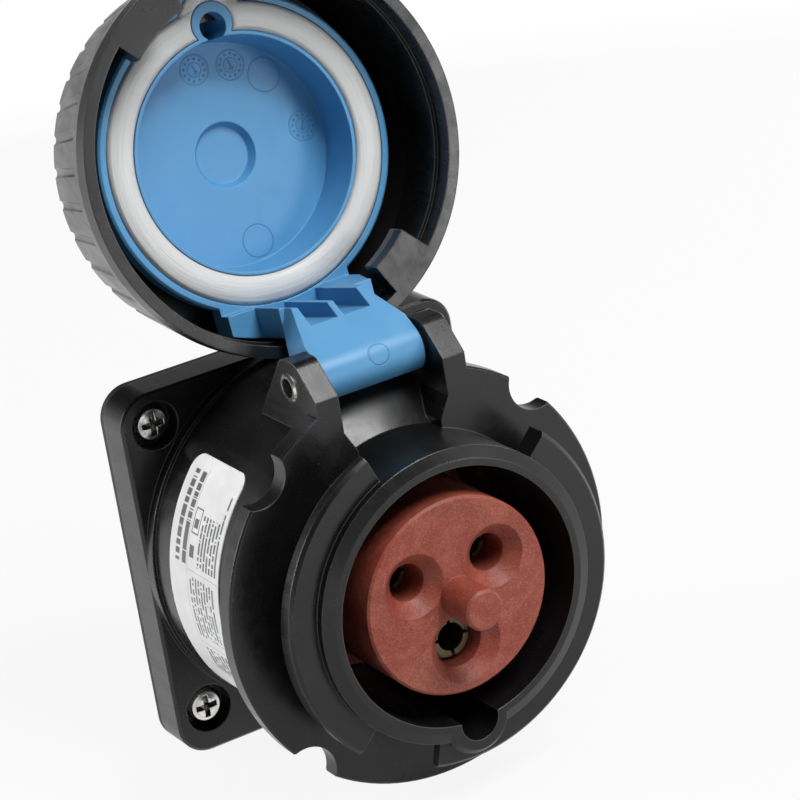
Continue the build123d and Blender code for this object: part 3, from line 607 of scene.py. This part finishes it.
def knuckle_mark(tree):
    """The ejector circle on the knuckle of the open cap."""
    x, y, z = split(tree, object_point(tree))
    ahead = minus(tree, -HINGE_DEPTH, y)
    above = minus(tree, z, HINGE_Z)
    round_way = times(tree, angle_of(tree, above, ahead), KNUCKLE_R)
    line = circle_mark(tree, x, round_way, KNUCKLE_MARK, KNUCKLE_MARK_R)
    reach = reach_of(tree, ahead, above)
    return times(tree, line, band(tree, reach, KNUCKLE_R - 0.3 * MM, KNUCKLE_R + 0.3 * MM, 0.1 * MM))


def cap_marks(tree):
    """All marks of the cap's mould: those on its floor, and the one on its knuckle."""
    x, depth, z = closed_point(tree)
    dials = [dial_mark(tree, x, z, centre, math.radians(turn)) for centre, turn in DIALS]
    circles = most(tree, *[circle_mark(tree, x, z, centre, radius) for centre, radius in EJECTOR_CIRCLES])
    marks = most(tree, *dials, times(tree, circles, FAINT_MARK))
    on_floor = band(tree, depth, CAP_FLOOR - 1.0 * MM, CAP_FLOOR + 1.0 * MM, 0.1 * MM)
    return most(tree, times(tree, marks, on_floor), times(tree, knuckle_mark(tree), FAINT_MARK))


def cap_material():
    """The blue moulding of the cap with its mould marks."""
    material, tree, shader, effect = moulded_material(
        "Blue moulding", Color=BLUE, Worn_color=BLUE_WORN, Wear=0.15, Roughness=0.44, Grain=0.25)
    marks = cap_marks(tree)
    # the mould marks are darkened as painted shade
    tone = mix_color(tree, times(tree, marks, MARK_SHADE_STRENGTH), effect.outputs["Color"], BLUE_MARK_SHADE)
    # edges lightened as wear and as a painted highlight
    rounded = worn_and_highlit_edges(tree, shader, tone, BLUE_EDGE_WEAR_AND_HIGHLIGHT, 0.35, EDGE_WIDTH)
    height = minus(tree, times(tree, effect.outputs["Height"], 0.12), marks)
    bump(tree, shader, height, MARK_DEPTH, rounded)
    shader.inputs["Specular IOR Level"].default_value = 0.6
    return material


# Other mouldings and seals

def black_material(name, wear):
    """The black moulding of the head, the locking ring and the retaining ring."""
    material, tree, shader, effect = moulded_material(
        name, Color=BLACK, Worn_color=BLACK_WORN, Wear=wear, Roughness=0.29, Grain=0.6)
    # edges lightened as wear and as a painted highlight
    rounded = worn_and_highlit_edges(tree, shader, effect.outputs["Color"], BLACK_EDGE_WEAR_AND_HIGHLIGHT, 0.6, EDGE_WIDTH)
    swell = noise(tree, object_point(tree), SWELL, 2, 0.4)
    swollen = bump(tree, shader, swell, SWELL_DEPTH, rounded)
    bump(tree, shader, effect.outputs["Height"], MOULD_GRAIN_DEPTH, swollen)
    return material


def insert_color(tree, moulding, grain):
    """The insert's mottled red: flow lines, dark stains, light and dark grain."""
    point = object_point(tree)
    flow = ramp(tree, noise(tree, point, RED_FLOW_LINE, 8, 0.7, 1.6), 0.38, 0.68, 0.0, 0.6)
    stain = ramp(tree, noise(tree, point, RED_STAIN_PATCH, 4, 0.6, 1.2), 0.48, 0.70, 0.0, 0.45)
    light_grain = ramp(tree, grain, 0.50, 0.72, 0.0, 0.5)
    dark_grain = ramp(tree, grain, 0.46, 0.28, 0.0, 0.5)
    tone = mix_color(tree, flow, moulding, RED_FLOW)
    tone = mix_color(tree, stain, tone, RED_STAIN)
    tone = mix_color(tree, light_grain, tone, RED_LIGHT_GRAIN)
    return mix_color(tree, dark_grain, tone, RED_DARK_GRAIN)


def insert_material():
    """The brick red thermoset of the insert."""
    material, tree, shader, effect = moulded_material(
        "Brick red thermoset", Color=RED, Worn_color=RED_WORN, Wear=0.35, Roughness=0.54, Grain=0.6)
    grain = noise(tree, object_point(tree), RED_GRAIN, 3, 0.7)
    tone = insert_color(tree, effect.outputs["Color"], grain)
    # edges lightened as wear and as a painted highlight
    rounded = worn_and_highlit_edges(tree, shader, tone, RED_EDGE_WEAR_AND_HIGHLIGHT, 0.45, FINE_EDGE_WIDTH)
    rough_skin = bump(tree, shader, grain, RED_GRAIN_DEPTH, rounded)
    bump(tree, shader, effect.outputs["Height"], MOULD_GRAIN_DEPTH, rough_skin)
    shader.inputs["Specular IOR Level"].default_value = 0.45
    return material


def gasket_material():
    """The soft white gasket of the cap: crowned, with streaks that run round it."""
    material, tree, shader, effect = moulded_material(
        "White gasket", Color=GASKET_WHITE, Worn_color=GASKET_WORN, Wear=0.2, Roughness=0.46, Grain=0.4)
    x, _, z = closed_point(tree)
    across = minus(tree, reach_of(tree, x, z), GASKET_MIDDLE_R)
    across = math_node(tree, "DIVIDE", across, GASKET_HALF_WIDTH)
    crown = minus(tree, 1.0, times(tree, across, across), clamp=True)
    sideways = times(tree, across, GASKET_STREAK_ACROSS)
    round_way = times(tree, angle_of(tree, z, x), GASKET_STREAK_ROUND)
    streak = noise(tree, join(tree, sideways, round_way, 0.0), GASKET_STREAK, 5, 0.6, 0.3)
    soiled = ramp(tree, streak, 0.5, 0.75, 0.0, 0.3)
    tone = mix_color(tree, soiled, effect.outputs["Color"], GASKET_SOILED)
    tree.links.new(tone, shader.inputs["Base Color"])
    crowned = bump(tree, shader, crown, CROWN_HEIGHT)
    streaked = bump(tree, shader, streak, GASKET_STREAK_DEPTH, crowned)
    bump(tree, shader, effect.outputs["Height"], MOULD_GRAIN_DEPTH, streaked)
    shader.inputs["Subsurface Weight"].default_value = 0.1
    shader.inputs["Subsurface Radius"].default_value = (1.0 * MM, 1.0 * MM, 1.0 * MM)
    return material


def rubber_material():
    """The dark rubber of the hidden seals."""
    material, tree, shader, effect = moulded_material(
        "Seal rubber", Color=RUBBER, Worn_color=RUBBER_WORN, Wear=0.3, Roughness=0.65, Grain=0.8)
    tree.links.new(effect.outputs["Color"], shader.inputs["Base Color"])
    bump(tree, shader, effect.outputs["Height"], RUBBER_GRAIN_DEPTH)
    return material


# Label

def label_place(tree):
    """Where a point lies on the label: millimetres forward and millimetres up."""
    x, y, z = split(tree, object_point(tree))
    c = math.cos(LABEL_MIDDLE)
    s = math.sin(LABEL_MIDDLE)
    outward = plus(tree, times(tree, x, c), times(tree, z, s))
    upward = minus(tree, times(tree, x, s), times(tree, z, c))
    up = times(tree, angle_of(tree, upward, outward), BARREL_R / MM)
    forward = times(tree, plus(tree, times(tree, y, -1.0), -LABEL_REAR), 1 / MM)
    return forward, up


def label_rows(tree, forward, up, first, pitch, count, low, high, inked, noise_place):
    """Rows of plain bars in place of lines of print, broken by noise."""
    place = math_node(tree, "DIVIDE", minus(tree, forward, first), pitch)
    row = math_node(tree, "FLOOR", place)
    words = noise(tree, join(tree, up, times(tree, row, WORD_ROW_STEP), noise_place), WORD_CELLS, 1, 0.5)
    bars = band(tree, math_node(tree, "FRACT", place), 0.5 - inked / 2, 0.5 + inked / 2, LABEL_SOFTNESS)
    bars = times(tree, bars, ramp(tree, words, 0.40, 0.44))
    field = times(tree, band(tree, place, 0.0, float(count), 0.02), band(tree, up, low, high, 0.1))
    return times(tree, field, bars)


def label_block(tree, forward, up, rear, front, low, high):
    """A plain filled rectangle of print."""
    across = band(tree, forward, rear, front, LABEL_SOFTNESS)
    return times(tree, across, band(tree, up, low, high, LABEL_SOFTNESS))


def label_box(tree, forward, up):
    """The outline of an empty box."""
    rear, front, low, high = LABEL_BOX
    line = LABEL_BOX_LINE
    inside = label_block(tree, forward, up, rear + line, front - line, low + line, high - line)
    return minus(tree, label_block(tree, forward, up, *LABEL_BOX), inside)


def label_print(tree, forward, up):
    """The fields of print as plain bars, a box, blocks and thin dividing lines."""
    rows = [label_rows(tree, forward, up, *field) for field in LABEL_ROWS]
    blocks = [label_block(tree, forward, up, *edges) for edges in LABEL_BLOCKS]
    lines = [label_block(tree, forward, up, *edges) for edges in LABEL_LINES]
    faint_lines = times(tree, most(tree, *lines), LABEL_LINE_INK)
    return most(tree, *rows, *blocks, label_box(tree, forward, up), faint_lines)


def label_material():
    """The white label film with plain shapes in place of print."""
    material, tree, shader = blank_material("Label film")
    forward, up = label_place(tree)
    cloud = noise(tree, object_point(tree), FILM_CLOUD, 4, 0.6)
    film = mix_color(tree, ramp(tree, cloud, 0.3, 0.7), FILM_DARK, FILM_LIGHT)
    ink = times(tree, label_print(tree, forward, up), LABEL_INK)
    tree.links.new(mix_color(tree, ink, film, INK), shader.inputs["Base Color"])
    tree.links.new(ramp(tree, cloud, 0.3, 0.7, 0.34, 0.46), shader.inputs["Roughness"])
    bump(tree, shader, cloud, FILM_DEPTH)
    return material


# Dressing the part

def dress():
    """Gives every node of the part its material."""
    black = black_material("Black moulding", 0.25)
    rubber = rubber_material()
    plated = metal_material("Plated steel", PLATED_STEEL, PLATING_DULL, 0.16, 0.3)
    # the contact colour is darkened as painted shade for the holes
    contact = metal_material("Plated contact", CONTACT_SHADED, CONTACT_DULL_SHADED, 0.5, 0.6)
    spring = metal_material("Spring steel", SPRING_STEEL, SPRING_DULL, 0.38, 0.5)
    chosen = {
        "head_housing": black,
        "bayonet_ring": black_material("Black moulding of the ring", 0.2),
        "insert_retaining_ring": black,
        "flange_gasket": rubber,
        "insert_seal": rubber,
        "flange_screws": screw_material(),
        "flange_washers": plated,
        "terminal_screws": plated,
        "retaining_ring_screws": plated,
        "line_contact": contact,
        "neutral_contact": contact,
        "earth_contact": contact,
        "line_contact_spring": spring,
        "neutral_contact_spring": spring,
        "earth_contact_spring": spring,
        "bayonet_ring_clip": spring,
        "hinge_pin": metal_material("Drawn steel tube", PIN_TUBE, PIN_TUBE_DULL, 0.16, 0.15),
        "label": label_material(),
        "contact_insert": insert_material(),
        "cap": cap_material(),
        "cap_gasket": gasket_material(),
    }
    for name, material in chosen.items():
        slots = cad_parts[name].data.materials
        slots.clear()
        slots.append(material)


# Stage, light and camera

def seen_directly(tree):
    """1 for camera rays, and a second mask of mirror and glass rays."""
    path = tree.nodes.new("ShaderNodeLightPath")
    mirror = most(tree, path.outputs["Is Glossy Ray"], path.outputs["Is Transmission Ray"])
    return path.outputs["Is Camera Ray"], mirror


def floor_white(tree):
    """How white the floor shows: near white to the camera, and in gloss white round one dim patch."""
    x, y, _ = split(tree, object_point(tree))
    far = ramp(tree, reach_of(tree, x, y), FLOOR_FADE_START, FLOOR_FADE_END)
    aside = minus(tree, x, DIM_PATCH[0])
    ahead = minus(tree, y, DIM_PATCH[1])
    round_patch = ramp(tree, reach_of(tree, aside, ahead), DIM_PATCH_START, DIM_PATCH_END)
    camera_ray, mirror_ray = seen_directly(tree)
    direct = times(tree, camera_ray, most(tree, far, FLOOR_WHITE))
    return most(tree, direct, times(tree, mirror_ray, round_patch))


def floor_material():
    """Pale floor that keeps a light shadow and fades to white away from the part."""
    material = bpy.data.materials.new("Pale floor")
    material.use_nodes = True
    tree = material.node_tree
    tree.nodes.clear()
    shade = tree.nodes.new("ShaderNodeBsdfDiffuse")
    shade.inputs["Color"].default_value = FLOOR_GREY
    white = tree.nodes.new("ShaderNodeEmission")
    blend = tree.nodes.new("ShaderNodeMixShader")
    output = tree.nodes.new("ShaderNodeOutputMaterial")
    tree.links.new(floor_white(tree), blend.inputs[0])
    tree.links.new(shade.outputs[0], blend.inputs[1])
    tree.links.new(white.outputs[0], blend.inputs[2])
    tree.links.new(blend.outputs[0], output.inputs["Surface"])
    return material


def lay_floor():
    """The plain floor under the part."""
    bpy.ops.mesh.primitive_plane_add(size=FLOOR_SIZE, location=(0, 0, FLOOR_Z))
    floor = bpy.context.object
    floor.name = "floor"
    floor.data.materials.append(floor_material())


def sky():
    """Soft light from all round, and a white horizon under a dim ceiling."""
    world = bpy.context.scene.world or bpy.data.worlds.new("World")
    bpy.context.scene.world = world
    world.use_nodes = True
    tree = world.node_tree
    tree.nodes.clear()
    light = tree.nodes.new("ShaderNodeBackground")
    light.inputs["Strength"].default_value = SKY_LIGHT
    seen = tree.nodes.new("ShaderNodeBackground")
    blend = tree.nodes.new("ShaderNodeMixShader")
    output = tree.nodes.new("ShaderNodeOutputWorld")
    aside, _, height = split(tree, tree.nodes.new("ShaderNodeTexCoord").outputs["Generated"])
    horizon = ramp(tree, height, HORIZON_LOW, HORIZON_HIGH, 1.0, SKY_LIGHT)
    camera_ray, mirror_ray = seen_directly(tree)
    side = most(tree, camera_ray, ramp(tree, aside, LEFT_END, RIGHT_START, LEFT_WHITE, 1.0))
    tree.links.new(times(tree, horizon, side), seen.inputs["Strength"])
    tree.links.new(most(tree, camera_ray, mirror_ray), blend.inputs[0])
    tree.links.new(light.outputs[0], blend.inputs[1])
    tree.links.new(seen.outputs[0], blend.inputs[2])
    tree.links.new(blend.outputs[0], output.inputs["Surface"])


def lamp(name, place, width, power):
    """A soft square lamp that looks at the part."""
    data = bpy.data.lights.new(name, "AREA")
    data.shape = "SQUARE"
    data.size = width
    data.energy = power
    item = bpy.data.objects.new(name, data)
    bpy.context.collection.objects.link(item)
    item.location = place
    way = Vector(LAMP_AIM) - Vector(place)
    item.rotation_euler = way.to_track_quat("-Z", "Y").to_euler()


def camera_axes():
    """The camera's right, up and back directions."""
    back = Vector((
        math.sin(AZIMUTH) * math.cos(ELEVATION),
        -math.cos(AZIMUTH) * math.cos(ELEVATION),
        math.sin(ELEVATION),
    ))
    level = Vector((math.cos(AZIMUTH), math.sin(AZIMUTH), 0))
    upright = Vector((
        -math.sin(AZIMUTH) * math.sin(ELEVATION),
        math.cos(AZIMUTH) * math.sin(ELEVATION),
        math.cos(ELEVATION),
    ))
    right = level * math.cos(ROLL) + upright * math.sin(ROLL)
    up = -level * math.sin(ROLL) + upright * math.cos(ROLL)
    return right, up, back


def camera():
    """The photograph's camera."""
    data = bpy.data.cameras.new("camera")
    data.lens = LENS
    data.sensor_width = SENSOR_WIDTH
    data.clip_start = NEAREST_SEEN
    data.clip_end = FARTHEST_SEEN
    item = bpy.data.objects.new("camera", data)
    bpy.context.collection.objects.link(item)
    right, up, back = camera_axes()
    place = AIM - right * AIM_RIGHT + up * AIM_DOWN + back * DISTANCE
    turn = Matrix((right, up, back)).transposed().to_4x4()
    item.matrix_world = Matrix.Translation(place) @ turn
    bpy.context.scene.camera = item


dress()
lay_floor()
sky()
for settings in LAMPS:
    lamp(*settings)
camera()
bpy.context.scene.view_settings.view_transform = "Standard"
